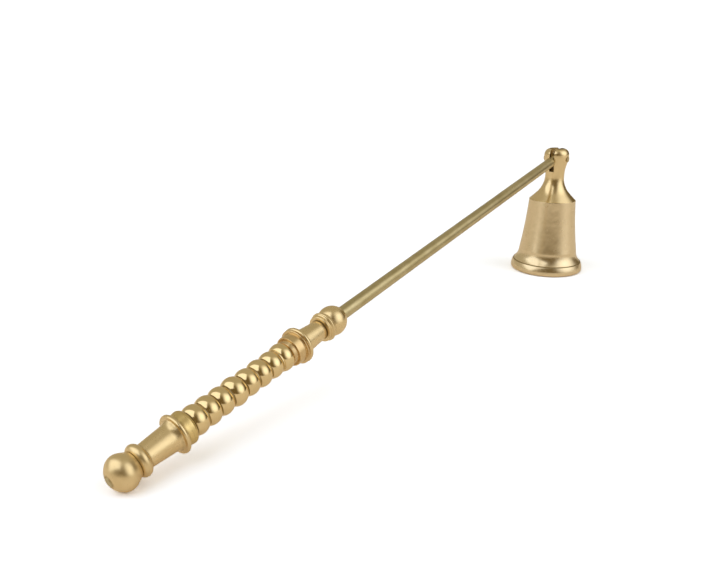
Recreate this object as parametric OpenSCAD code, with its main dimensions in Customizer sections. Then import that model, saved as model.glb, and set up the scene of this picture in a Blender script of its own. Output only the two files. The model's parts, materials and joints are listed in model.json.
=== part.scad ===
// Candle snuffer with a hinged bell.
// The handle is a stack of turned brass pieces threaded on the tang of a rod.
// The bell swings on a pin through the forked knob that holds the flattened end of the rod.
// It stands on a table: the bell upright on its rim, the end ball touching down at -X.
// Millimetres, +Z up. The origin is the middle of the footprint, at table height.
// "Station" means the distance along the rod's axis from the middle of the end ball.

/* [Rod] */
// Diameter of the rod
rod_d = 4.0; // [3.6:0.1:4.6]
// Diameter of the tang that the handle pieces are threaded on
tang_d = 3.0; // [2.6:0.1:3.4]
// Distance from the middle of the end ball to the hinge pin
reach = 221.5; // [170:0.5:300]
// How deep the full diameter of the rod sits in the front ball
rod_seat = 1.5; // [1:0.1:2.5]
// Thickness of the tongue between the flats at the hinge end
tongue_t = 1.8; // [1.4:0.1:2.4]
// Distance from the hinge pin to the shoulders of the flats
tongue_len = 6.2; // [6:0.1:8]
// Spacing of the thread ridges at the end ball
thread_pitch = 0.5; // [0.4:0.05:0.8]
// Depth of the thread
thread_depth = 0.28; // [0.2:0.02:0.34]

/* [Fits] */
// Radial clearance of the handle pieces on the tang and the rod in its seat
stack_clearance = 0.03; // [0.02:0.01:0.08]
// Radial running clearance of the tongue on the hinge pin
pin_clearance = 0.05; // [0.02:0.01:0.1]
// Gap on each side of the tongue in the slot
slot_clearance = 0.1; // [0.05:0.01:0.2]
// Clearance around the fixed pin and the spigot, which are riveted
rivet_clearance = 0.02; // [0.01:0.01:0.05]

/* [Hinge] */
// Diameter of the hinge pin
pin_d = 1.6; // [1.2:0.1:2.2]
// Diameter of the riveted heads of the pin
pin_head_d = 2.6; // [2.2:0.1:3.2]
// Depth of the countersink that each head fills
pin_head_depth = 0.6; // [0.4:0.05:0.9]
// How far each head stands out of the knob
pin_proud = 0.08; // [0.02:0.02:0.2]
// Depth of the slot below the middle of the pin
slot_below = 5.3; // [4.5:0.1:6]

/* [Bell cup] */
// Outer diameter of the rim
rim_d = 30.5; // [29:0.1:38]
// Height of the thick lip at the rim
lip_h = 4.2; // [3:0.1:5.5]
// How much smaller the lip is at its top than at its foot
lip_fall = 0.8; // [0.4:0.1:1.2]
// Width of the lip's foot, from the mouth to the rim
lip_w = 1.95; // [1.8:0.05:3]
// Diameter of the shoulder at the top of the cup
shoulder_d = 19.5; // [16:0.1:22]
// Height of the shoulder above the rim
cup_h = 31.0; // [24:0.5:42]
// Slope of the body at the shoulder, as growth of the radius per millimetre
body_slope = 0.06; // [0.02:0.01:0.1]
// Curve of the body, as growth of the radius per millimetre squared
body_curve = 0.0024; // [0:0.0002:0.004]
// Height of the top of the hollow curve between the body and the lip
flare_h = 9.0; // [8:0.1:12]
// Radius of the rounding at the foot of the lip
lip_round = 1.0; // [0.4:0.1:1.1]
// Bevel around the mouth
mouth_bevel = 0.3; // [0.1:0.05:0.4]
// Height up to which the lip keeps its full diameter
lip_full_h = 1.6; // [1.2:0.1:2]
// Width of the small step on top of the lip
lip_step = 0.3; // [0.1:0.05:0.5]
// Wall of the body
cup_wall = 1.3; // [0.9:0.1:1.8]
// Thickness of the crown that the fork is riveted to
crown_t = 2.0; // [1.4:0.1:3]

/* [Bell fork] */
// Diameter of the neck at its thinnest
neck_d = 7.9; // [6.4:0.1:8.6]
// Height of the thinnest part of the neck above the shoulder
neck_h = 10.0; // [9:0.1:11]
// Angle between the bell's axis and the flank that runs up from the shoulder
neck_flank = 45; // [42:1:48]
// Diameter of the slotted knob
knob_d = 10.2; // [8.6:0.1:12]
// Height of the pin above the shoulder
pin_h = 17.5; // [16.5:0.1:24]
// Height of the top of the knob above the pin
knob_top = 4.2; // [3.6:0.1:5]
// Radius of the rounding at the top of the knob
knob_round = 2.6; // [1:0.1:3]
// Diameter of the spigot through the crown
spigot_d = 5.0; // [4:0.1:7]
// Diameter of the riveted head inside the cup
spigot_head_d = 6.8; // [6:0.1:9]
// Thickness of that head
spigot_head_t = 1.1; // [0.8:0.1:1.6]
// Bevel of that head
head_bevel = 0.5; // [0.2:0.1:0.7]
// Width of the cup's shoulder left bare around the fork
fork_ledge = 0.15; // [0.05:0.05:0.4]
// Length of the straight part of the neck
neck_straight = 1.0; // [0.5:0.1:1.5]
// Height of the knob's widest place above the pin
widest_rise = 0.8; // [0:0.1:1.4]

/* [End ball] */
// Diameter of the end ball
ball_d = 8.9; // [7.8:0.1:11]
// Radius of the rounding around the middle of the ball
ball_round = 3.0; // [2.6:0.1:3.6]
// Turn of that rounding towards the neck, in degrees
neck_turn = 30; // [26:1:32]
// Diameter of the flat on the ball's pole
pole_flat_d = 2.7; // [2.5:0.1:3.4]
// How far the riveted tip of the tang stands out of that flat
tip_proud = 0.12; // [0.04:0.02:0.2]
// Station where the ball ends and the ring begins
ball_end = 3.05; // [3:0.05:4.2]
// Diameter of the ball's neck at that station
ball_neck_d = 6.4; // [6:0.1:7]

/* [Near end of the handle] */
// Diameter of the ring next to the ball
ring_d = 8.36; // [7.6:0.02:9.4]
// Width of that ring
ring_w = 2.65; // [2.2:0.05:3.2]
// Length of the near ferrule, with its flange
near_ferrule_l = 9.6; // [7.8:0.1:12]
// Diameter of the near ferrule at the ring
near_taper_d = 6.1; // [5.6:0.1:6.8]
// How much the taper grows towards the flange
near_taper_rise = 0.9; // [0.4:0.1:1.4]
// Length of the flared part in front of the flange's edge
near_flare_l = 2.4; // [1.6:0.1:3.2]
// Diameter of the near flange
near_flange_d = 10.35; // [9:0.05:12]
// Width of the flange's rounded edge
near_edge_w = 1.4; // [0.9:0.1:1.8]
// Length of the near cup
near_cup_l = 3.0; // [2.6:0.05:4.2]
// Diameter of the near cup at the flange
near_cup_d = 8.3; // [7.6:0.1:9]
// How much the near cup grows towards the beads
near_cup_rise = 0.6; // [0:0.1:0.8]
// Radius of the rounding where the near cup meets the beads
near_cup_round = 0.9; // [0.3:0.1:1]

/* [Beads] */
// Diameters of the beads 1 to 4, counted from the end ball
bead_d_a = [7.8, 7.65, 7.45, 7.8];
// Diameters of the beads 5 to 8
bead_d_b = [7.3, 7.45, 7.35, 7.8];
// Widths of the beads 1 to 4
bead_w_a = [4.1, 4.0, 4.3, 4.6];
// Widths of the beads 5 to 8
bead_w_b = [4.3, 4.3, 4.2, 3.9];
// Radius of each bead's rounding
bead_round = 3.0; // [2.6:0.1:3.6]
// Width of the narrow land on the near face of each bead
land_w = 0.4; // [0.2:0.05:0.5]
// How far that land lies under the edges of the bead
land_step = 0.2; // [0.05:0.05:0.3]

/* [Far end of the handle] */
// Length of the far cup
far_cup_l = 4.1; // [3.4:0.05:5]
// Diameter of the far cup's neck, next to the last bead
far_neck_d = 6.6; // [6:0.1:7]
// Distance from that neck to the rim of the mouth
far_mouth_s = 1.1; // [0.8:0.05:1.3]
// Diameter of the mouth, outside
far_mouth_d = 8.56; // [8:0.02:9.4]
// Width of the rim around the mouth
far_mouth_rim = 0.3; // [0.2:0.05:0.5]
// Depth of the trough inside the rim
far_trough = 0.3; // [0.1:0.05:0.5]
// Thickness of the lip on the far cup
far_lip_w = 0.5; // [0.4:0.05:0.8]
// Diameter of that lip
far_lip_d = 10.3; // [9:0.1:12]
// Rise of the cup's wall between the mouth and the lip
far_cup_rise = 0.1; // [0:0.05:0.3]
// Length of the far ferrule, with its flange
far_ferrule_l = 9.75; // [8:0.05:13]
// Width of the flange on the far ferrule
far_flange_w = 1.55; // [1.1:0.05:2.2]
// Width of the groove between the lip and the flange
flange_groove = 0.2; // [0.1:0.05:0.4]
// Diameter of the far flange
far_flange_d = 10.4; // [9:0.1:12]
// Diameter of the far ferrule behind the flange
far_taper_d = 7.1; // [6.6:0.1:8]
// How much the taper shrinks towards the collar
far_taper_fall = 1.5; // [1:0.1:1.7]
// Length of the far collar
collar_l = 2.75; // [2.6:0.05:3.6]
// Diameter of the far collar
collar_d = 8.7; // [8:0.1:9.8]
// Diameter of the small ring on the collar's near side
collar_ring_d = 7.9; // [7.6:0.1:8]
// Radius of that small ring's edge
collar_ring_round = 0.35; // [0.25:0.05:0.4]
// Depth of the groove between the two rings
collar_groove = 0.2; // [0.1:0.05:0.35]
// Width of the collar's rounded edge
collar_edge_w = 0.8; // [0.5:0.1:0.9]
// Distance from the middle of the collar's edge to the front ball
collar_edge_back = 1.1; // [0.9:0.1:1.2]
// How far the collar steps in behind its edge
collar_back_step = 0.45; // [0.3:0.05:0.6]
// How much the collar narrows from there to the front ball
collar_back_fall = 0.15; // [0:0.05:0.3]
// Diameter of the front ball
front_ball_d = 8.72; // [8:0.02:10]
// Distance from the collar to the middle of the front ball
front_ball_near = 2.6; // [2:0.05:3]

/* [Hidden] */
$fn = 96;

bright_brass = [0.86, 0.73, 0.45];
satin_brass = [0.80, 0.67, 0.42];
dull_brass = [0.66, 0.57, 0.33];

// Overlap that joins two shapes of one solid, and the reach of a cut past a face
join = 0.05;
past = 1;
// Largest turn between two points of an arc
arc_step = 5;
// How far a rounded edge turns past its crest into the face beside it, in degrees
edge_turn = 45;
full_edge_turn = 60;
// Power of the curve of the bell's lip, and of the curve from the neck to the knob
lip_power = 1.6;
neck_power = 1.15;
// Distance between the points of the bell's body along its axis
body_step = 2;

rod_r = rod_d / 2;
tang_r = tang_d / 2;
bore_r = tang_r + stack_clearance;
ball_r = ball_d / 2;
knob_r = knob_d / 2;
neck_r = neck_d / 2;
shoulder_r = shoulder_d / 2;
rim_r = rim_d / 2;
slot_w = tongue_t + 2 * slot_clearance;

// Where the pin and the slot lie above the table
pivot_z = cup_h + pin_h;
slot_floor_z = pivot_z - slot_below;

// The ball's outline is one arc around its middle and one across its pole, which meet at oval_turn
oval_turn = 40;
ball_round_off = ball_r - ball_round;
pole_r = ball_round + ball_round_off / cos(oval_turn);
pole_off = (pole_r - ball_round) * sin(oval_turn);
pole_flat_r = pole_flat_d / 2;
pole_s = pole_off - sqrt(pow(pole_r, 2) - pow(pole_flat_r, 2));
tip_s = pole_s - tip_proud;
tip_r = tang_r - thread_depth;
tip_end_r = tip_r - tip_proud;

// Slope of the rod with the ball's rounding and the bell's rim both on the table
tilt = asin((pivot_z - ball_round) / sqrt(pow(reach, 2) + pow(ball_round_off, 2)))
       - atan(ball_round_off / reach);
ball_z = ball_round + ball_round_off * cos(tilt);

// The footprint from the ball's pole to the far side of the rim is centred on the origin
pole_reach = max(-pole_s * cos(tilt) + pole_flat_r * sin(tilt), -tip_s * cos(tilt) + tip_end_r * sin(tilt));
span = reach * cos(tilt);
ball_x = pole_reach - (span + rim_r + pole_reach) / 2;
bell_x = ball_x + span;

// Stations where the pieces meet
ring_s = ball_end;
near_ferrule_s = ring_s + ring_w;
near_cup_s = near_ferrule_s + near_ferrule_l;
bead_s = near_cup_s + near_cup_l;
bead_d = concat(bead_d_a, bead_d_b);
bead_w = concat(bead_w_a, bead_w_b);
bead_count = len(bead_w);
function total(list, upto) = upto == 0 ? 0 : list[upto - 1] + total(list, upto - 1);
far_cup_s = bead_s + total(bead_w, bead_count);
far_ferrule_s = far_cup_s + far_cup_l;
collar_s = far_ferrule_s + far_ferrule_l;
front_ball_s = collar_s + collar_l;
front_ball_mid = front_ball_s + front_ball_near;
front_ball_r = front_ball_d / 2;
rod_start = front_ball_mid + sqrt(pow(front_ball_r, 2) - pow(rod_r, 2)) - rod_seat;

// The thread runs inside the ball, clear of the pole
thread_margin = 0.8;
thread_s = pole_s + thread_margin;
thread_turns = floor((ball_end - thread_margin - thread_s) / thread_pitch);

// Points of an arc around [x, y], from angle a0 to a1
function arc(x, y, r, a0, a1) =
    let (n = max(2, ceil(abs(a1 - a0) / arc_step)))
    [for (i = [0 : n]) [x + r * cos(a0 + (a1 - a0) * i / n), y + r * sin(a0 + (a1 - a0) * i / n)]];

// Rise from 0 to 1 with level ends
function ease(u) = (1 - cos(180 * u)) / 2;

// Outline points of a run of thread ridges, from station s up
function ridges(s, minor, major) =
    concat([for (i = [0 : thread_turns - 1]) each [[minor, s + i * thread_pitch],
                                                  [major, s + (i + 0.5) * thread_pitch]]],
           [[minor, s + thread_turns * thread_pitch]]);

// Radius of the cup's body at height z
function body_r(z) = shoulder_r + body_slope * (cup_h - z) + body_curve * pow(cup_h - z, 2);

module turned(points) {
    rotate_extrude() polygon(points);
}

// A piece of the handle, drawn with its axis along Z and station 0 at the origin
module on_axis() {
    translate([ball_x, 0, ball_z]) rotate([0, 90 - tilt, 0]) children();
}

module tang_bore(from, to) {
    translate([0, 0, from - past]) cylinder(r = bore_r, h = to - from + 2 * past);
}

module end_ball() {
    outline = concat(
        [[0, pole_s], [pole_flat_r, pole_s]],
        arc(0, pole_off, pole_r, -90 + asin(pole_flat_r / pole_r), -oval_turn),
        arc(ball_round_off, 0, ball_round, -oval_turn, neck_turn),
        [[ball_neck_d / 2, ball_end], [0, ball_end]]);
    thread = concat(
        [[0, pole_s - past], [tip_r + stack_clearance, pole_s - past]],
        ridges(thread_s, tip_r + stack_clearance, bore_r),
        [[bore_r, thread_s + thread_turns * thread_pitch], [bore_r, ball_end + past], [0, ball_end + past]]);
    color(bright_brass) on_axis() difference() {
        turned(outline);
        turned(thread);
    }
}

module near_ring() {
    tube_r = ring_w / 2;
    color(bright_brass) on_axis() difference() {
        translate([0, 0, ring_s + tube_r]) union() {
            rotate_extrude() translate([ring_d / 2 - tube_r, 0]) circle(r = tube_r);
            translate([0, 0, -tube_r]) cylinder(r = ring_d / 2 - tube_r, h = ring_w);
        }
        tang_bore(ring_s, near_ferrule_s);
    }
}

module near_ferrule() {
    edge_r = near_edge_w / 2;
    crest_s = near_cup_s - edge_r;
    lip_x = near_flange_d / 2 - edge_r;
    flare_s = crest_s - near_flare_l;
    root_r = near_taper_d / 2;
    start_r = root_r + near_taper_rise / 2;
    outline = concat(
        [[0, near_ferrule_s], [root_r, near_ferrule_s], [start_r, flare_s]],
        [for (u = [0.2 : 0.2 : 0.8]) [start_r + (lip_x - start_r) * pow(u, 2), flare_s + u * near_flare_l]],
        arc(lip_x, crest_s, edge_r, -edge_turn, 90),
        [[0, near_cup_s]]);
    color(bright_brass) on_axis() difference() {
        turned(outline);
        tang_bore(near_ferrule_s, near_cup_s);
    }
}

module near_cup() {
    far_x = near_cup_d / 2 + near_cup_rise / 2 - near_cup_round;
    outline = concat(
        [[0, near_cup_s], [near_cup_d / 2, near_cup_s]],
        arc(far_x, bead_s - near_cup_round, near_cup_round, 0, 90),
        [[0, bead_s]]);
    color(bright_brass) on_axis() difference() {
        turned(outline);
        tang_bore(near_cup_s, bead_s);
    }
}

// Bead number i, counted from 0
module bead(i) {
    start = bead_s + total(bead_w, i);
    end = start + bead_w[i];
    round_x = bead_d[i] / 2 - bead_round;
    turn = asin((bead_w[i] - land_w) / 2 / bead_round);
    land_r = round_x + bead_round * cos(turn) - land_step;
    outline = concat(
        [[0, start], [land_r, start], [land_r, start + land_w]],
        arc(round_x, (start + land_w + end) / 2, bead_round, -turn, turn),
        [[0, end]]);
    color(bright_brass) on_axis() difference() {
        turned(outline);
        tang_bore(start, end);
    }
}

module far_cup() {
    mouth_r = far_mouth_d / 2;
    inner_r = mouth_r - far_mouth_rim;
    mouth_s = far_cup_s + far_mouth_s;
    lip_s = far_ferrule_s - far_lip_w;
    lip_round = far_lip_w / 2;
    outline = concat(
        [[0, far_cup_s], [far_neck_d / 2, far_cup_s], [inner_r - far_trough, mouth_s + far_trough],
         [inner_r, mouth_s], [mouth_r, mouth_s], [mouth_r + far_cup_rise, lip_s]],
        arc(far_lip_d / 2 - lip_round, lip_s + lip_round, lip_round, -90, 90),
        [[0, far_ferrule_s]]);
    color(bright_brass) on_axis() difference() {
        turned(outline);
        tang_bore(far_cup_s, far_ferrule_s);
    }
}

module far_ferrule() {
    edge_r = (far_flange_w - flange_groove) / 2;
    root_r = far_taper_d / 2;
    flange_r = far_flange_d / 2;
    outline = concat(
        [[0, far_ferrule_s], [flange_r - 2 * edge_r, far_ferrule_s],
         [flange_r - edge_r, far_ferrule_s + flange_groove]],
        arc(flange_r - edge_r, far_ferrule_s + flange_groove + edge_r, edge_r, -full_edge_turn, 90),
        [[root_r, far_ferrule_s + far_flange_w], [root_r - far_taper_fall / 2, collar_s], [0, collar_s]]);
    color(bright_brass) on_axis() difference() {
        turned(outline);
        tang_bore(far_ferrule_s, collar_s);
    }
}

module far_collar() {
    ring_x = collar_ring_d / 2 - collar_ring_round;
    edge_r = collar_edge_w / 2;
    edge_x = collar_d / 2 - edge_r;
    edge_s = front_ball_s - collar_edge_back;
    back_r = collar_d / 2 - collar_back_step;
    outline = concat(
        [[0, collar_s], [ring_x, collar_s]],
        arc(ring_x, collar_s + collar_ring_round, collar_ring_round, -90, full_edge_turn),
        [[collar_ring_d / 2 - collar_groove, collar_s + 3 * collar_ring_round], [edge_x, edge_s - edge_r]],
        arc(edge_x, edge_s, edge_r, -edge_turn, full_edge_turn),
        [[back_r, edge_s + edge_r], [back_r - collar_back_fall, front_ball_s], [0, front_ball_s]]);
    color(bright_brass) on_axis() difference() {
        turned(outline);
        tang_bore(collar_s, front_ball_s);
    }
}

module front_ball() {
    color(bright_brass) on_axis() difference() {
        intersection() {
            translate([0, 0, front_ball_mid]) sphere(r = front_ball_r);
            translate([0, 0, front_ball_s]) cylinder(r = front_ball_d, h = front_ball_d);
        }
        tang_bore(front_ball_s, rod_start);
        translate([0, 0, rod_start]) cylinder(r = rod_r + stack_clearance, h = front_ball_d);
    }
}

module rod() {
    flats_s = reach - tongue_len;
    outline = concat(
        [[0, tip_s], [tip_end_r, tip_s], [tip_r, pole_s]],
        ridges(thread_s, tip_r, tang_r),
        [[tang_r, thread_s + thread_turns * thread_pitch], [tang_r, rod_start], [rod_r, rod_start],
         [rod_r, flats_s], [0, flats_s]]);
    color(dull_brass) on_axis() difference() {
        union() {
            turned(outline);
            intersection() {
                union() {
                    translate([0, 0, flats_s - join]) cylinder(r = rod_r, h = tongue_len + join);
                    translate([0, 0, reach]) rotate([90, 0, 0]) cylinder(r = rod_r, h = rod_d, center = true);
                }
                translate([-rod_d, -tongue_t / 2, flats_s - 2 * join])
                    cube([2 * rod_d, tongue_t, tongue_len + rod_d]);
            }
        }
        translate([0, 0, reach]) rotate([90, 0, 0])
            cylinder(r = pin_d / 2 + pin_clearance, h = rod_d, center = true);
    }
}

module bell_cup() {
    mouth_r = rim_r - lip_w;
    foot_r = rim_r - lip_fall - lip_step;
    foot_z = lip_h + lip_step / 3;
    // The flare is the arc that leaves the body upright and ends at the step on top of the lip
    flare_w = foot_r - body_r(flare_h);
    flare_drop = flare_h - foot_z;
    flare_r = (pow(flare_w, 2) + pow(flare_drop, 2)) / (2 * flare_w);
    flare_x = body_r(flare_h) + flare_r;
    flare_foot = 180 + asin(flare_drop / flare_r);
    inner_top = cup_h - crown_t;
    inner_foot = 180 + asin((flare_h - lip_h) / (flare_r + cup_wall));
    outline = concat(
        [[mouth_r + mouth_bevel, 0], [rim_r - lip_round, 0]],
        arc(rim_r - lip_round, lip_round, lip_round, -full_edge_turn, 0),
        [for (u = [0 : 0.2 : 1])
            [rim_r - lip_fall * pow(u, lip_power), lip_full_h + u * (lip_h - lip_full_h)]],
        arc(flare_x, flare_h, flare_r, flare_foot, 180),
        [for (z = [flare_h + body_step : body_step : cup_h - body_step / 2]) [body_r(z), z]],
        [[shoulder_r, cup_h], [0, cup_h], [0, inner_top]],
        [for (z = [inner_top : -body_step : flare_h + body_step / 2]) [body_r(z) - cup_wall, z]],
        arc(flare_x, flare_h, flare_r + cup_wall, 180, inner_foot),
        [[mouth_r, lip_h / 2], [mouth_r, mouth_bevel]]);
    color(satin_brass) translate([bell_x, 0, 0]) difference() {
        turned(outline);
        translate([0, 0, inner_top - past])
            cylinder(r = spigot_d / 2 + rivet_clearance, h = crown_t + 2 * past);
    }
}

module bell_fork() {
    base_r = shoulder_r - fork_ledge;
    flare = (neck_h * tan(neck_flank) - (base_r - neck_r))
            / (sin(neck_flank) * tan(neck_flank) - 1 + cos(neck_flank));
    waist_z = neck_h + neck_straight;
    widest_z = pin_h + widest_rise;
    top_z = pin_h + knob_top;
    head_z = -crown_t - spigot_head_t;
    head_r = spigot_head_d / 2;
    outline = concat(
        [[0, head_z], [head_r - head_bevel, head_z], [head_r, head_z + head_bevel],
         [head_r, -crown_t], [spigot_d / 2, -crown_t], [spigot_d / 2, 0], [base_r, 0]],
        arc(neck_r + flare, neck_h, flare, 180 + neck_flank, 180),
        [for (u = [0.2 : 0.1 : 1])
            [neck_r + (knob_r - neck_r) * ease(pow(u, neck_power)), waist_z + u * (widest_z - waist_z)]],
        arc(knob_r - knob_round, top_z - knob_round, knob_round, 0, 90),
        [[0, top_z]]);
    color(bright_brass) translate([bell_x, 0, cup_h]) difference() {
        turned(outline);
        translate([-knob_d, -slot_w / 2, pin_h - slot_below]) cube([2 * knob_d, slot_w, knob_d + slot_below]);
        translate([0, 0, pin_h]) pin_shape(rivet_clearance);
    }
}

// The pin with its two countersunk heads, grown by clearance for the hole
module pin_shape(clearance) {
    head_y = knob_r - pin_head_depth;
    head_h = pin_head_depth + pin_proud;
    rotate([90, 0, 0]) cylinder(r = pin_d / 2 + clearance, h = 2 * head_y + 2 * join, center = true);
    for (side = [90, -90]) rotate([side, 0, 0]) translate([0, 0, head_y])
        cylinder(r1 = pin_d / 2 + clearance, r2 = pin_head_d / 2 + clearance, h = head_h);
}

module hinge_pin() {
    color(dull_brass) translate([bell_x, 0, pivot_z]) pin_shape(0);
}

end_ball();
near_ring();
near_ferrule();
near_cup();
bead(0);  // bead_1
bead(1);  // bead_2
bead(2);  // bead_3
bead(3);  // bead_4
bead(4);  // bead_5
bead(5);  // bead_6
bead(6);  // bead_7
bead(7);  // bead_8
far_cup();
far_ferrule();
far_collar();
front_ball();
rod();
bell_cup();
bell_fork();
hinge_pin();
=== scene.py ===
"""Looks of a brass candle snuffer: turned handle, thin rod, hinged bell.

Every turned piece is spun on a lathe tree from the outline of its own CAD node, with its corners broken
and its fine turning added. Millimetres along the lathe, metres in the scene.
"""
import json
import math

import bmesh
import bpy
import numpy as np
from mathutils import Matrix, Vector


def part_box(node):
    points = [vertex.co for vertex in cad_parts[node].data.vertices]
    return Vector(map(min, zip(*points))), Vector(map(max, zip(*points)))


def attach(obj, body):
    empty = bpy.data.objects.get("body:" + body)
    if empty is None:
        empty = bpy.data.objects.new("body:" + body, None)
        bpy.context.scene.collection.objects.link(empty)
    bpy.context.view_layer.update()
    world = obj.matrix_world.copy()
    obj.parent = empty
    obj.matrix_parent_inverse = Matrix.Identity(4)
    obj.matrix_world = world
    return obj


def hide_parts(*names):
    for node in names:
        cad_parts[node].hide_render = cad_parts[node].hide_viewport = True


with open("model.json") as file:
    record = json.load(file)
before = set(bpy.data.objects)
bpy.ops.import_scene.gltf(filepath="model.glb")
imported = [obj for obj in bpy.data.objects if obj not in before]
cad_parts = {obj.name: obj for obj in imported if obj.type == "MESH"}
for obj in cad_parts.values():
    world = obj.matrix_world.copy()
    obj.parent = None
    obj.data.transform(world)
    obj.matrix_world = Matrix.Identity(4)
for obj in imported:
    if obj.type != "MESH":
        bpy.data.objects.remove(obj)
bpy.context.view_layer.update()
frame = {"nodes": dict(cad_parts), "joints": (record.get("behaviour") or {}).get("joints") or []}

MM = 0.001
TURN = 2 * math.pi

# Sizes at the hinge, in millimetres, that no outline shows
TONGUE_LENGTH = 6.2
TONGUE_HALF = 0.9
SLOT_WIDTH = 2.0
SLOT_BELOW_PIN = 5.3
PIN_HOLE_RADIUS = 0.82
TONGUE_EYE_RADIUS = 0.85
# Long enough for a drilled hole to run out on both sides
CUT_LENGTH = 14

# ---------------------------------------------------------------- where the pieces are

hinge = Vector(frame["joints"][0]["pos_m"])
ring_low, ring_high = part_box("near_ring")
rod_line = (hinge - (ring_low + ring_high) / 2).normalized()


def lathe_place(origin, axis):
    """Placement of a lathe whose own axis is Z, in millimetres, at origin and along axis."""
    turn = Vector((0, 0, 1)).rotation_difference(axis).to_matrix().to_4x4()
    return Matrix.Translation(origin) @ turn @ Matrix.Scale(MM, 4)


# The handle's lathe starts at the hinge and counts down towards the end ball
HANDLE = lathe_place(hinge, rod_line)
BELL = lathe_place(Vector((hinge.x, 0, 0)), Vector((0, 0, 1)))
PIN = lathe_place(hinge, Vector((0, 1, 0)))


# ---------------------------------------------------------------- nodes, written as sums

class Sock:
    """A socket of a node tree. Sums on it add Math nodes, and node() adds any other node."""

    def __init__(self, tree, socket=None):
        self.tree = tree
        self.socket = socket

    def node(self, kind, settings=None, inputs=None, output=0):
        """Adds a node, sets it up, then fills its inputs by name or number. Returns one of its outputs."""
        made = self.tree.nodes.new(kind)
        for name, value in (settings or {}).items():
            setattr(made, name, value)
        for name, value in (inputs or {}).items():
            target = made.inputs[name]
            if isinstance(value, Sock):
                self.tree.links.new(value.socket, target)
            else:
                target.default_value = value
        return Sock(self.tree, made.outputs[output])

    def math(self, operation, first, second=0.0, third=0.0):
        return self.node("ShaderNodeMath", {"operation": operation}, {0: first, 1: second, 2: third})

    def __add__(self, other):
        return self.math("ADD", self, other)

    def __radd__(self, other):
        return self.math("ADD", other, self)

    def __sub__(self, other):
        return self.math("SUBTRACT", self, other)

    def __rsub__(self, other):
        return self.math("SUBTRACT", other, self)

    def __mul__(self, other):
        return self.math("MULTIPLY", self, other)

    def __rmul__(self, other):
        return self.math("MULTIPLY", other, self)

    def __truediv__(self, other):
        return self.math("DIVIDE", self, other)

    def smooth(self, low, high):
        """0 below low, 1 above high, smooth between."""
        return self.node("ShaderNodeMapRange", {"interpolation_type": "SMOOTHSTEP"},
                         {"Value": self, "From Min": low, "From Max": high})

    def mix(self, first, second):
        """Colour first where this is 0, second where it is 1."""
        return self.node("ShaderNodeMix", {"data_type": "RGBA"}, {0: self, 6: first, 7: second}, output=2)


# ---------------------------------------------------------------- outlines

def outline_of(node, place, angle=0.0):
    """The node's cut face on one side of its axis, as a loop of (radius, station), in millimetres."""
    cut = bmesh.new()
    cut.from_mesh(frame["nodes"][node].data)
    bmesh.ops.transform(cut, matrix=place.inverted(), verts=cut.verts)
    bmesh.ops.remove_doubles(cut, verts=cut.verts, dist=1e-4)
    outward = Vector((math.cos(angle), math.sin(angle), 0))
    across = Vector((-math.sin(angle), math.cos(angle), 0))
    found = bmesh.ops.bisect_plane(cut, geom=cut.verts[:] + cut.edges[:] + cut.faces[:],
                                   plane_co=(0, 0, 0), plane_no=across, dist=1e-5)["geom_cut"]
    edges = [g for g in found if isinstance(g, bmesh.types.BMEdge)]
    near = {}
    for edge in edges:
        a, b = edge.verts
        if min(a.co.dot(outward), b.co.dot(outward)) > -1e-3:
            near.setdefault(a, []).append(b)
            near.setdefault(b, []).append(a)
    ends = [v for v in near if len(near[v]) == 1]
    if ends:
        start = min(ends, key=lambda v: v.co.z)
    else:
        start = min(near, key=lambda v: (v.co.z, v.co.dot(outward)))
    loop = [start]
    before = None
    while True:
        following = [v for v in near[loop[-1]] if v is not before and v not in loop[1:]]
        if before is not None and start in following and len(loop) > 2:
            break
        if not following:
            break
        before = loop[-1]
        loop.append(following[0])
    points = [(max(v.co.dot(outward), 0.0), v.co.z) for v in loop]
    cut.free()
    return points


def resampled(points, step):
    """The same polyline with points every step or less, keeping its corners."""
    out = []
    for a, b in zip(points, points[1:]):
        count = max(1, math.ceil(math.dist(a, b) / step))
        out += [(a[0] + (b[0] - a[0]) * i / count, a[1] + (b[1] - a[1]) * i / count)
                for i in range(count)]
    return out + [points[-1]]


def blurred(points, width, step):
    """Points moved to a Gaussian average of their neighbours, with both ends held."""
    reach = max(1, math.ceil(3 * width / step))
    weights = np.exp(-0.5 * (np.arange(-reach, reach + 1) * step / width) ** 2)
    weights /= weights.sum()
    line = np.array(points)
    if len(line) < 3:
        return points
    reach = min(reach, len(line) - 1)
    weights = weights[len(weights) // 2 - reach: len(weights) // 2 + reach + 1]
    weights /= weights.sum()
    before = 2 * line[0] - line[reach:0:-1]
    after = 2 * line[-1] - line[-2:-2 - reach:-1]
    padded = np.vstack([before, line, after])
    moved = np.column_stack([np.convolve(padded[:, k], weights, mode="valid") for k in (0, 1)])
    moved[0], moved[-1] = line[0], line[-1]
    return [tuple(p) for p in moved]


def turn_at(a, b, c):
    """Change of direction at b, in degrees."""
    first = math.atan2(b[1] - a[1], b[0] - a[0])
    second = math.atan2(c[1] - b[1], c[0] - b[0])
    return abs(math.degrees((second - first + math.pi) % TURN - math.pi))


# Distance between the points of an outline while it is smoothed
STEP = 0.025
# Turn, in degrees, that earns a row of its own where an outline bends
ROW_TURN = 5.0


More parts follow.
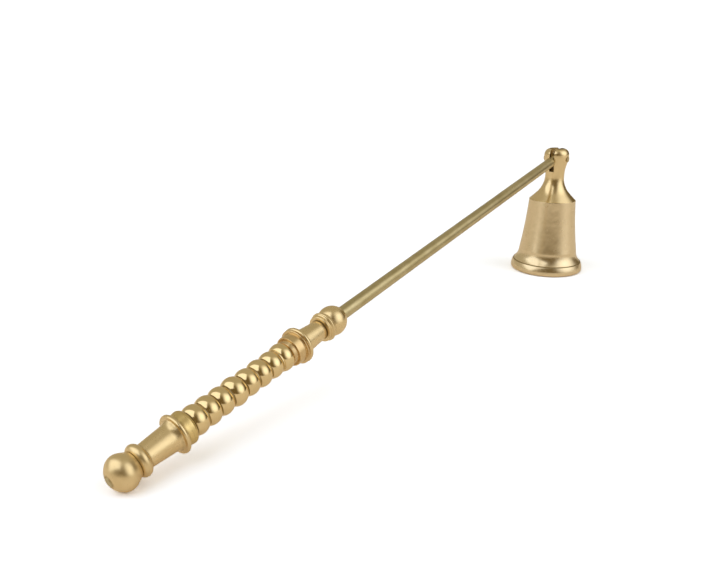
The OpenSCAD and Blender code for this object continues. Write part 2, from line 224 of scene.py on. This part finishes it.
def softened(points, edge=0.06, bend=0.2, corner=22.0, longest=0.4):
    """An outline with its facets smoothed into curves and its corners broken to about the edge width."""
    corners = [0] + [i for i in range(1, len(points) - 1)
                     if turn_at(points[i - 1], points[i], points[i + 1]) > corner] + [len(points) - 1]
    smooth = []
    for a, b in zip(corners, corners[1:]):
        stretch = resampled(points[a:b + 1], STEP)
        smooth += blurred(stretch, bend, STEP)[:-1]
    smooth.append(points[-1])
    smooth = np.array(blurred(smooth, edge, STEP))
    ways = np.diff(smooth, axis=0)
    lengths = np.hypot(ways[:, 0], ways[:, 1])
    angles = np.unwrap(np.arctan2(ways[:, 1], ways[:, 0]))
    bends = np.degrees(np.abs(np.diff(angles, prepend=angles[0])))
    weight = np.concatenate([[0], np.cumsum(lengths / longest + bends / ROW_TURN)])
    picks = np.linspace(0, weight[-1], max(4, math.ceil(weight[-1])) + 1)
    radii = np.maximum(np.interp(picks, weight, smooth[:, 0]), 0.0)
    stations = np.interp(picks, weight, smooth[:, 1])
    return [(float(r), float(s)) for r, s in zip(radii, stations)]


def solid_outline(node, place, angle=0.0):
    """The whole outline of a piece, from its lowest point on the axis or round a bore and back."""
    points = [p for i, p in enumerate(outline_of(node, place, angle)) if p[0] > 0.02 or i == 0]
    bored = min(p[0] for p in points) > 0.3
    if bored:
        first = min(range(len(points)), key=lambda i: (round(points[i][0], 2), points[i][1]))
        points = points[first:] + points[:first]
        return points + [points[0]]
    points[0] = (0.0, points[0][1])
    return points if points[-1][0] == 0 else points + [(0.0, points[-1][1])]


# ---------------------------------------------------------------- painted shade and patina in the recesses

SKY_STEP = 0.05


def skyline(outlines):
    """Stations and outer radius of a stack of outlines, sampled finely."""
    low = min(p[1] for o in outlines for p in o)
    high = max(p[1] for o in outlines for p in o)
    stations = np.arange(low, high, SKY_STEP)
    radii = np.zeros(len(stations))
    for outline in outlines:
        for a, b in zip(outline, outline[1:]):
            inside = (stations >= min(a[1], b[1])) & (stations <= max(a[1], b[1]))
            if abs(b[1] - a[1]) > 1e-6:
                value = a[0] + (stations - a[1]) * (b[0] - a[0]) / (b[1] - a[1])
                radii = np.where(inside, np.maximum(radii, value), radii)
    return stations, radii


def shelter(line, points, width=1.3):
    """How far each point lies under the skyline around it: 0 in the open, 1 deep in a groove. It sets how much
    painted shade a point gets.
    """
    stations, radii = line
    half = int(width / SKY_STEP)
    kernel = np.ones(2 * half + 1) / (2 * half + 1)
    around = np.convolve(np.pad(radii, half, mode="edge"), kernel, mode="valid")
    under = [float(np.interp(s, stations, around)) - r for r, s in points]
    return [min(max((u - 0.1) / 0.45, 0.0), 1.0) ** 1.4 for u in under]


# ---------------------------------------------------------------- the lathe

def lathe_tree():
    """Spins a profile of (radius, station) about Z. Waves and dents only take metal away."""
    tree = bpy.data.node_groups.new("lathe", "GeometryNodeTree")
    for name, kind in (("Profile", "NodeSocketGeometry"), ("Segments", "NodeSocketInt"),
                       ("Seed", "NodeSocketFloat"), ("Waves", "NodeSocketFloat"), ("Dents", "NodeSocketFloat"),
                       ("Ridges", "NodeSocketFloat"), ("Material", "NodeSocketMaterial")):
        tree.interface.new_socket(name, in_out="INPUT", socket_type=kind)
    tree.interface.new_socket("Piece", in_out="OUTPUT", socket_type="NodeSocketGeometry")
    inputs = tree.nodes.new("NodeGroupInput")
    given = {s.name: Sock(tree, s) for s in inputs.outputs if s.name}
    start = Sock(tree)
    rows = start.node("GeometryNodeAttributeDomainSize", inputs={0: given["Profile"]}, output="Point Count")
    columns = given["Segments"] + 1
    grid = start.node("GeometryNodeMeshGrid", inputs={"Vertices X": columns, "Vertices Y": rows})
    index = start.node("GeometryNodeInputIndex")
    row = index.math("MODULO", index, rows)
    column = (index / rows + 0.0001).math("FLOOR", index / rows + 0.0001)
    spot = start.node("GeometryNodeSampleIndex", {"data_type": "FLOAT_VECTOR"},
                      {"Geometry": given["Profile"], "Value": start.node("GeometryNodeInputPosition"),
                       "Index": row})
    sheltered = start.node("GeometryNodeSampleIndex", {"data_type": "FLOAT"},
                           {"Geometry": given["Profile"], "Index": row,
                            "Value": start.node("GeometryNodeInputNamedAttribute", {"data_type": "FLOAT"},
                                                {"Name": "recess"})})
    radius = spot.node("ShaderNodeSeparateXYZ", inputs={0: spot}, output="X")
    station = spot.node("ShaderNodeSeparateXYZ", inputs={0: spot}, output="Z")
    angle = column / given["Segments"] * TURN
    east, north = angle.math("COSINE", angle), angle.math("SINE", angle)
    here = start.node("ShaderNodeCombineXYZ", inputs={0: radius * east, 1: radius * north,
                                                      2: station + given["Seed"]})
    waves = start.node("ShaderNodeTexNoise", inputs={"Vector": here, "Scale": 0.35, "Detail": 2.0})
    ridges = start.node("ShaderNodeTexNoise", {"noise_dimensions": "1D"},
                        {"W": station + given["Seed"], "Scale": 2.6, "Detail": 3.0})
    cell = {"Vector": here, "Scale": 0.42}
    nearness = 1 - start.node("ShaderNodeTexVoronoi", inputs=cell).smooth(0.02, 0.16)
    chosen = start.node("ShaderNodeSeparateXYZ",
                        inputs={0: start.node("ShaderNodeTexVoronoi", inputs=cell, output="Color")})
    dents = nearness * chosen.math("GREATER_THAN", chosen, 0.7)
    taken = waves * given["Waves"] + ridges * given["Ridges"] + dents * given["Dents"]
    kept = radius - taken * radius.math("MINIMUM", radius / 2.2, 1.0)
    place = start.node("ShaderNodeCombineXYZ", inputs={0: kept * east, 1: kept * north, 2: station})
    spun = start.node("GeometryNodeSetPosition", inputs={"Geometry": grid, "Position": place})
    spun = start.node("GeometryNodeStoreNamedAttribute", {"data_type": "FLOAT", "domain": "POINT"},
                      {"Geometry": spun, "Name": "recess", "Value": sheltered})
    spun = start.node("GeometryNodeMergeByDistance", inputs={"Geometry": spun, "Distance": 0.002})
    spun = start.node("GeometryNodeSetShadeSmooth", inputs={"Geometry": spun})
    spun = start.node("GeometryNodeRealizeInstances", inputs={"Geometry": spun})
    spun = start.node("GeometryNodeSetMaterial", inputs={"Geometry": spun, "Material": given["Material"]})
    output = tree.nodes.new("NodeGroupOutput")
    tree.links.new(spun.socket, output.inputs[0])
    return tree


LATHE = lathe_tree()


def spin(name, profile, recess, place, material, segments, seed, waves, dents, ridges=0.0, shape=None):
    """Spins one piece and leaves it at the origin as a plain mesh, its place in its vertices."""
    wire = bpy.data.meshes.new(name + "_profile")
    wire.from_pydata([(r, 0, s) for r, s in profile], [(i, i + 1) for i in range(len(profile) - 1)], [])
    wire.attributes.new("recess", "FLOAT", "POINT").data.foreach_set("value", recess)
    holder = bpy.data.objects.new(name + "_profile", wire)
    bpy.context.scene.collection.objects.link(holder)
    spun = holder.modifiers.new("lathe", "NODES")
    spun.node_group = LATHE
    values = {"Segments": segments, "Seed": seed, "Waves": waves, "Dents": dents, "Ridges": ridges,
              "Material": material}
    for item in LATHE.interface.items_tree:
        if item.in_out == "INPUT" and item.name in values:
            spun[item.identifier] = values[item.name]
    seen = holder.evaluated_get(bpy.context.evaluated_depsgraph_get())
    mesh = bpy.data.meshes.new_from_object(seen)
    mesh.name = name
    bpy.data.objects.remove(holder)
    if shape:
        spots = np.empty(len(mesh.vertices) * 3)
        mesh.vertices.foreach_get("co", spots)
        mesh.vertices.foreach_set("co", shape(spots.reshape(-1, 3)).ravel())
    body = bmesh.new()
    body.from_mesh(mesh)
    bmesh.ops.dissolve_degenerate(body, dist=1e-4, edges=body.edges)
    bmesh.ops.recalc_face_normals(body, faces=body.faces)
    if body.calc_volume(signed=True) < 0:
        bmesh.ops.reverse_faces(body, faces=body.faces)
    bmesh.ops.transform(body, matrix=place, verts=body.verts)
    body.to_mesh(mesh)
    body.free()
    piece = bpy.data.objects.new(name, mesh)
    bpy.context.scene.collection.objects.link(piece)
    return piece


# ---------------------------------------------------------------- cutting

def cutter(name, build, place):
    """A tool for cut(), made by build in millimetres and set at place."""
    mesh = bpy.data.meshes.new(name)
    shape = bmesh.new()
    build(shape)
    bmesh.ops.transform(shape, matrix=place, verts=shape.verts)
    shape.to_mesh(mesh)
    shape.free()
    tool = bpy.data.objects.new(name, mesh)
    bpy.context.scene.collection.objects.link(tool)
    return tool


def cut(piece, tool):
    """Takes a tool's shape out of a piece and drops the tool."""
    step = piece.modifiers.new("cut", "BOOLEAN")
    step.operation, step.solver, step.object = "DIFFERENCE", "EXACT", tool
    bpy.context.view_layer.update()
    mesh = bpy.data.meshes.new_from_object(piece.evaluated_get(bpy.context.evaluated_depsgraph_get()))
    piece.modifiers.clear()
    old = piece.data
    metal = next(m for m in old.materials if m)
    mesh.materials.clear()
    mesh.materials.append(metal)
    mesh.polygons.foreach_set("material_index", [0] * len(mesh.polygons))
    piece.data = mesh
    bpy.data.meshes.remove(old)
    bpy.data.objects.remove(tool)


def box_tool(width, depth, height):
    """A block around the origin."""
    def build(shape):
        bmesh.ops.create_cube(shape, size=1.0, matrix=Matrix.Diagonal((width, depth, height, 1)))
    return build


def drill(radius, length):
    """A round bar along Z, around the origin."""
    def build(shape):
        bmesh.ops.create_cone(shape, cap_ends=True, segments=48, radius1=radius, radius2=radius, depth=length)
    return build


# ---------------------------------------------------------------- brass

def brass(name, place, light, dark, polish, lines=9.0, line_depth=0.5, lengthways=0.0, cloud=0.5,
          shade_and_patina_colour=(0.25, 0.17, 0.065), shade_and_patina_reach=0.9, pits=0.3, grain=1.0):
    """Brass in the lathe's own coordinates: turning lines round the axis, brushing along it, and painted shade
    with patina in its recesses.

    light and dark are its two tones and polish its roughness. lines counts turning lines per millimetre.
    """
    material = bpy.data.materials.new(name)
    material.use_nodes = True
    tree = material.node_tree
    shader = tree.nodes["Principled BSDF"]
    start = Sock(tree)
    spin_turn = place.to_quaternion().to_euler()
    at = start.node("ShaderNodeMapping", {"vector_type": "TEXTURE"},
                    {"Vector": start.node("ShaderNodeTexCoord", output="Object"),
                     "Location": place.translation, "Rotation": spin_turn, "Scale": (MM, MM, MM)})
    parts = [start.node("ShaderNodeSeparateXYZ", inputs={0: at}, output=k) for k in "XYZ"]
    x, y, z = parts
    radius = (x * x + y * y).math("SQRT", x * x + y * y)

    def noise(a, b, c, detail=3.0, rough=0.6):
        vector = start.node("ShaderNodeCombineXYZ", inputs={0: a, 1: b, 2: c})
        return start.node("ShaderNodeTexNoise", inputs={"Vector": vector, "Scale": 1.0, "Detail": detail,
                                                        "Roughness": rough})

    patch = noise(x * 0.22, y * 0.22, z * 0.16, 5.0)
    mottle = noise(x * 1.3, y * 1.3, z * 1.1, 4.0)
    rings = noise(x * 0.35, y * 0.35, z * lines) * 0.5 + noise(x * 0.35, y * 0.35, radius * lines) * 0.5
    fine = noise(x * 0.8, y * 0.8, (z + radius * 0.6) * lines * 3.1, 1.0)
    brushed = noise(x * 7.0, y * 7.0, z * 0.22, 3.0)
    scratch = noise(x * 2.1 + z * 5.3, y * 2.4 - z * 1.7, z * 0.9 + y * 4.1, 2.0)
    scratch = scratch.smooth(0.66, 0.72) * grain
    recess = start.node("ShaderNodeAttribute", {"attribute_name": "recess"}, output="Fac")
    # Painted shade: the recess attribute darkens and roughens grooves and hollows towards the shade colour,
    # with random patina patches mixed in
    painted_shade_and_patina = (recess * shade_and_patina_reach + (mottle - 0.5) * 0.5 * recess.smooth(0.02, 0.4)
            + (patch - 0.5) * 0.12).smooth(0.12, 0.95)

    even = (patch.smooth(0.25, 0.75) * cloud + mottle * 0.25 * grain + (rings - 0.5) * 0.6 * line_depth
            + (brushed - 0.5) * lengthways)
    colour = even.mix((*light, 1), (*dark, 1))
    colour = painted_shade_and_patina.mix(colour, (*shade_and_patina_colour, 1))
    colour = (scratch * 0.35).mix(colour, (dark[0] * 0.6, dark[1] * 0.6, dark[2] * 0.6, 1))
    tree.links.new(colour.socket, shader.inputs["Base Color"])
    shader.inputs["Metallic"].default_value = 1.0
    rough = (polish + (patch - 0.5) * 0.12 + (mottle - 0.5) * 0.10 * grain + (rings - 0.5) * 0.12 * line_depth
             + painted_shade_and_patina * 0.3 + scratch * 0.12)
    tree.links.new(rough.math("MAXIMUM", rough, 0.06).socket, shader.inputs["Roughness"])
    height = (rings * line_depth + fine * line_depth * 0.35 + brushed * lengthways * 0.6
              - mottle.smooth(0.62, 0.8) * pits + patch * 0.4 - scratch * 0.25)
    bump = start.node("ShaderNodeBump", inputs={"Height": height, "Strength": 1.0, "Distance": 0.0025 * MM})
    tree.links.new(bump.socket, shader.inputs["Normal"])
    return material


PALE = (0.88, 0.71, 0.42)
DEEP = (0.74, 0.57, 0.29)
turned = brass("turned brass", HANDLE, PALE, DEEP, 0.28)
polished = brass("polished beads", HANDLE, (0.92, 0.74, 0.42), DEEP, 0.15, line_depth=0.3, cloud=0.35)
rough_turned = brass("rough turned brass", HANDLE, (0.86, 0.66, 0.30), (0.50, 0.38, 0.15), 0.3, lines=5.0,
                     line_depth=1.6, pits=0.8)
# The far cup's brass is redder, and its recesses take a reddish painted shade
undercut = brass("undercut brass", HANDLE, (0.84, 0.66, 0.37), (0.60, 0.40, 0.18), 0.25, cloud=0.5,
                 shade_and_patina_colour=(0.30, 0.15, 0.06))
satin_ball = brass("satin ball", HANDLE, PALE, DEEP, 0.34, line_depth=0.4, shade_and_patina_reach=0.5)
drawn = brass("drawn brass rod", HANDLE, (0.66, 0.57, 0.34), (0.45, 0.37, 0.18), 0.30, lines=2.0,
              line_depth=0.25, lengthways=0.7, cloud=0.7)
satin = brass("satin bell", BELL, (0.85, 0.71, 0.47), (0.75, 0.60, 0.37), 0.26, lines=7.0, line_depth=0.35,
              cloud=0.3, pits=0.0, grain=0.15)
fork_brass = brass("knob brass", BELL, PALE, DEEP, 0.24, line_depth=0.3, pits=0.05, grain=0.3)
pin_brass = brass("pin brass", PIN, (0.70, 0.58, 0.32), (0.45, 0.36, 0.18), 0.34, line_depth=0.8)

# ---------------------------------------------------------------- the handle

BEADS = [f"bead_{i}" for i in range(1, 9)]
STACK = ["end_ball", "near_ring", "near_ferrule", "near_cup", *BEADS, "far_cup", "far_ferrule", "far_collar",
         "front_ball"]
sharp = {node: solid_outline(node, HANDLE) for node in STACK}
handle_sky = skyline(list(sharp.values()))
finish = {"end_ball": satin_ball, "near_cup": rough_turned, "far_cup": undercut, "front_ball": turned,
          "near_ring": satin_ball}
# Depth of the coarse turning left on the two undercut cups
cuts = {"near_cup": 0.06, "far_cup": 0.02}
# The tang and the bore around it get painted shade, apart from the riveted tip: their radii, and where they
# run
BORE_REACH = 1.56
TANG_REACH = 1.7
TANG_FROM, TANG_TO = -224.9, -149


def add(piece, body, node):
    """Puts a finished piece in the place of its CAD node."""
    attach(piece, body)
    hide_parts(node)


for number, node in enumerate(STACK):
    curve = softened(sharp[node], edge=0.05 if node.startswith("bead") else 0.07)
    # Painted shade in the grooves between pieces and in the bores
    shade = shelter(handle_sky, curve)
    shade = [1.0 if r < BORE_REACH and s > TANG_FROM else f for f, (r, s) in zip(shade, curve)]
    piece = spin(node + "_turned", curve, shade, HANDLE,
                 finish.get(node, polished if node in BEADS else turned), segments=144, seed=7.3 * number + 2,
                 waves=0.02, dents=0.05, ridges=cuts.get(node, 0.0))
    add(piece, "handle", node)

# ---------------------------------------------------------------- the rod

rod_points = [p for p in solid_outline("rod", HANDLE) if not (p[0] < 1.0 and abs(p[1]) < 1.0)]
rod_top = max(p[1] for p in rod_points)
rod_points = [p for p in rod_points if p[1] < rod_top - 0.01 or p[0] < 0.8]
rod_points[-1] = (0.0, rod_top)


def milled(spots):
    """The flats of the tongue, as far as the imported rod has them."""
    flat = np.abs(spots[:, 1]) > TONGUE_HALF
    there = spots[:, 2] > 0.001 - TONGUE_LENGTH
    spots[:, 1] = np.where(flat & there, np.sign(spots[:, 1]) * TONGUE_HALF, spots[:, 1])
    return spots


curve = softened(rod_points, edge=0.05, longest=0.9)
# Two rows close together make the step from the round rod to its flats
full = max(r for r, s in curve)
shoulder = min(i for i, (r, s) in enumerate(curve) if s > -TONGUE_LENGTH and r > 0.9 * full)
step_r = curve[shoulder][0]
curve[shoulder:shoulder] = [(step_r, -TONGUE_LENGTH), (step_r, 0.01 - TONGUE_LENGTH)]
# Painted shade on the tang where it runs inside the handle
shade = [1.0 if TANG_FROM < s < TANG_TO and r < TANG_REACH else 0.0 for r, s in curve]
rod = spin("rod_drawn", curve, shade, HANDLE, drawn, segments=72, seed=3.0, waves=0.03, dents=0.0,
           shape=milled)
cut(rod, cutter("eye", drill(TONGUE_EYE_RADIUS, CUT_LENGTH), PIN))
rod.data.shade_smooth()
add(rod, "handle", "rod")

# ---------------------------------------------------------------- the bell

cup_points = solid_outline("bell_cup", BELL)
# The fork is cut on the slant, where the outline misses both the slot and the pin
fork_points = solid_outline("bell_fork", BELL, math.pi / 4)
slot_floor = hinge.z / MM - SLOT_BELOW_PIN
fork_top = max(s for r, s in fork_points)
fork_points = [(r, s) for r, s in fork_points if s < slot_floor - 0.05 or r > 1.8]
fork_points.append((0.0, fork_top))
bell_sky = skyline([cup_points, fork_points])
BELL_SHELTER = 1.6

# The step on top of the lip is the sharpest turn of the outer wall near the rim
rim = max(r for r, s in cup_points)
near_lip = [i for i, (r, s) in enumerate(cup_points) if 2 < s < 8 and r > rim - 1.75]
crease = cup_points[max(near_lip, key=lambda i: turn_at(*cup_points[i - 1:i + 2]))]
CREASE_WIDTH = 0.28
INSIDE_DULLNESS = 0.55

curve = softened(cup_points, edge=0.05, longest=0.5)
# A line of painted shade, CREASE_WIDTH wide, runs along the step on the lip
crease_shade = [min(1.0, max(0.0, 1.5 - math.dist(p, crease) / CREASE_WIDTH)) for p in curve]
inside = [INSIDE_DULLNESS if r < np.interp(s, *bell_sky) - 0.9 and s > 0.6 else 0.0 for r, s in curve]
shade = [max(found) for found in zip(shelter(bell_sky, curve, BELL_SHELTER), crease_shade, inside)]
cup = spin("bell_turned", curve, shade, BELL, satin, segments=192, seed=11.0, waves=0.06, dents=0.05)
add(cup, "bell", "bell_cup")

curve = softened(fork_points, edge=0.07, longest=0.5)
shade = shelter(bell_sky, curve, BELL_SHELTER)
fork = spin("fork_turned", curve, shade, BELL, fork_brass, segments=144, seed=5.0, waves=0.03, dents=0.04)

# Long and high enough for the slot to run out of the knob
SLOT_CUT_LENGTH = 16
SLOT_CUT_HEIGHT = 12.0
slot_middle = Vector((hinge.x, 0, (slot_floor + SLOT_CUT_HEIGHT / 2) * MM))
slot_place = Matrix.Translation(slot_middle) @ Matrix.Scale(MM, 4)
cut(fork, cutter("slot", box_tool(SLOT_CUT_LENGTH, SLOT_WIDTH, SLOT_CUT_HEIGHT), slot_place))
cut(fork, cutter("pin_hole", drill(PIN_HOLE_RADIUS, CUT_LENGTH), PIN))
edges = fork.modifiers.new("broken edges", "BEVEL")
edges.width = 0.1 * MM
edges.segments = 2
edges.limit_method = "ANGLE"
edges.angle_limit = math.radians(40)
fork.data.shade_smooth()
finished = bpy.data.meshes.new_from_object(fork.evaluated_get(bpy.context.evaluated_depsgraph_get()))
fork.modifiers.clear()
fork.data = finished

# The slot's walls and floor get painted shade, with patina where nothing polishes them
SLOT_PAINTED_SHADE = 0.9
for spot, vertex in zip(finished.attributes["recess"].data, finished.vertices):
    height = vertex.co.z / MM
    in_slot = abs(vertex.co.y) / MM < SLOT_WIDTH / 2 + 0.02 and slot_floor - 0.02 < height < fork_top - 0.3
    if in_slot and (vertex.co - hinge).length < 6.5 * MM:
        spot.value = SLOT_PAINTED_SHADE
add(fork, "bell", "bell_fork")

# The riveted faces of the pin are filed bright, and the rest of it is dull
pin_points = solid_outline("hinge_pin", PIN)
curve = softened(pin_points, edge=0.06, longest=0.3)
pin_face = max(s for r, s in pin_points) - 0.58
shade = [0.0 if abs(s) > pin_face and r < 1.2 else 0.7 for r, s in curve]
pin = spin("pin_riveted", curve, shade, PIN, pin_brass, segments=64, seed=9.0, waves=0.02, dents=0.05)
add(pin, "bell", "hinge_pin")

# ---------------------------------------------------------------- camera

# The camera looks along the object from beyond the end ball, turned yaw from +Y and tipped down by pitch
yaw, pitch, roll = (math.radians(v) for v in (51.43, 18.71, 0.489))
CAMERA_FROM_HINGE = Vector((-287.896, -119.65, 42.27)) * MM
forward = Vector((math.sin(yaw) * math.cos(pitch), math.cos(yaw) * math.cos(pitch), -math.sin(pitch)))
level = Vector((math.cos(yaw), -math.sin(yaw), 0))
rise = level.cross(forward)
right = level * math.cos(roll) + rise * math.sin(roll)
up = rise * math.cos(roll) - level * math.sin(roll)
lens = bpy.data.cameras.new("camera")
lens.sensor_width = 36
lens.lens = 35.694
lens.clip_start = 0.01
camera = bpy.data.objects.new("camera", lens)
view = Matrix((right, up, -forward)).transposed().to_4x4()
view.translation = hinge + CAMERA_FROM_HINGE
camera.matrix_world = view
bpy.context.scene.collection.objects.link(camera)
bpy.context.scene.camera = camera

# ---------------------------------------------------------------- table, lights and surroundings

# Half the side of the table, in metres, and the distances over which its shading gives way to plain white
TABLE_HALF = 4
FADE_FROM, FADE_TO = 0.22, 0.5
WHITE = (1.1, 1.1, 1.1, 1)
# What the brass mirrors of the table is a little dimmer and warmer than the table itself
TABLE_IN_BRASS = (0.98, 0.91, 0.83, 1)
TABLE_SEEN = (1.6, 1.72, 1.98, 1)
FACE = [(0, 1, 2, 3)]
SQUARE = [(-1, -1, 0), (1, -1, 0), (1, 1, 0), (-1, 1, 0)]


def seen_by_camera(start):
    """1 where the camera looks straight at a surface, 0 in reflections and in the light it gives."""
    return start.node("ShaderNodeLightPath", output="Is Camera Ray")


def bare_material(name):
    """A material with no shader yet, and its node tree."""
    material = bpy.data.materials.new(name)
    material.use_nodes = True
    material.node_tree.nodes.remove(material.node_tree.nodes["Principled BSDF"])
    return material, material.node_tree


table = bpy.data.meshes.new("table")
table.from_pydata([(x * TABLE_HALF, y * TABLE_HALF, z) for x, y, z in SQUARE], [], FACE)
floor = bpy.data.objects.new("table", table)
bpy.context.scene.collection.objects.link(floor)
paper, tree = bare_material("white paper")
start = Sock(tree)
plain = start.node("ShaderNodeBsdfDiffuse", inputs={"Color": TABLE_IN_BRASS})
lit = start.node("ShaderNodeBsdfDiffuse", inputs={"Color": TABLE_SEEN})
far_off = start.node("ShaderNodeVectorMath", {"operation": "LENGTH"},
                     {0: start.node("ShaderNodeTexCoord", output="Object")}, output="Value")
white = start.node("ShaderNodeEmission", inputs={"Strength": WHITE[0]})
fade = start.node("ShaderNodeMixShader", inputs={0: far_off.smooth(FADE_FROM, FADE_TO), 1: lit, 2: white})
shown = start.node("ShaderNodeMixShader", inputs={0: seen_by_camera(start), 1: plain, 2: fade})
tree.links.new(shown.socket, tree.nodes["Material Output"].inputs["Surface"])
table.materials.append(paper)

# The softboxes face this place and stand this far from it, in metres
LIT_PLACE = Vector((-0.02, 0, 0.02))
SOFTBOX_DISTANCE = 1.1


def in_view(side, height, toward):
    """A direction given in the camera's own right, up and back."""
    return (right * side + up * height - forward * toward).normalized()


def softbox(name, centre, across, half_angles, radiance, softness):
    """A sheet of light towards centre, its first side along across, that fades towards its edges.

    half_angles are half its spread, in degrees. softness is the share of each half that fades.
    """
    way = in_view(*centre)
    first = in_view(*across)
    first = (first - way * first.dot(way)).normalized()
    second = way.cross(first)
    halves = [SOFTBOX_DISTANCE * math.tan(math.radians(a)) for a in half_angles]
    sheet = bpy.data.meshes.new(name)
    sheet.from_pydata(SQUARE, [], FACE)
    lamp = bpy.data.objects.new(name, sheet)
    lamp.matrix_world = (Matrix.Translation(LIT_PLACE + way * SOFTBOX_DISTANCE)
                         @ Matrix((first, second, way)).transposed().to_4x4()
                         @ Matrix.Diagonal((halves[0], halves[1], 1, 1)))
    glow, tree = bare_material(name)
    start = Sock(tree)
    spot = start.node("ShaderNodeTexCoord", output="Object")
    u = start.node("ShaderNodeSeparateXYZ", inputs={0: spot}, output="X")
    v = start.node("ShaderNodeSeparateXYZ", inputs={0: spot}, output="Y")
    inside = ((1 - u.math("ABSOLUTE", u)).smooth(0, softness[0])
              * (1 - v.math("ABSOLUTE", v)).smooth(0, softness[1]))
    light = start.node("ShaderNodeEmission", inputs={"Color": (1, 0.99, 0.97, 1), "Strength": radiance})
    nothing = start.node("ShaderNodeBsdfTransparent")
    faded = start.node("ShaderNodeMixShader", inputs={0: inside, 1: nothing, 2: light})
    tree.links.new(faded.socket, tree.nodes["Material Output"].inputs["Surface"])
    sheet.materials.append(glow)
    bpy.context.scene.collection.objects.link(lamp)


softbox("left softbox", (-0.67, 0.55, 0.50), (-0.67, -0.45, -0.59), (38, 29), 1.3, (0.12, 0.12))
softbox("right softbox", (0.81, 0.40, 0.43), (-0.23, 0.98, -0.55), (47, 43), 1.45, (0.9, 0.9))

world = bpy.data.worlds.new("surroundings")
bpy.context.scene.world = world
world.use_nodes = True
tree = world.node_tree
start = Sock(tree)
way = start.node("ShaderNodeTexCoord", output="Generated")


def towards(direction):
    """Cosine of the angle between the way a ray goes and direction."""
    return start.node("ShaderNodeVectorMath", {"operation": "DOT_PRODUCT"}, {0: way, 1: tuple(direction)},
                      output="Value")


# The room is dim, and darker behind the camera and off to its right
room = towards(-forward).smooth(0.45, 0.93).mix((0.47, 0.42, 0.31, 1), (0.16, 0.115, 0.05, 1))
room = towards(in_view(0.82, 0.28, -0.48)).smooth(0.82, 0.95).mix(room, (0.14, 0.10, 0.04, 1))
shown = seen_by_camera(start).mix(room, WHITE)
tree.links.new(shown.socket, tree.nodes["Background"].inputs["Color"])

bpy.context.scene.view_settings.view_transform = "Standard"
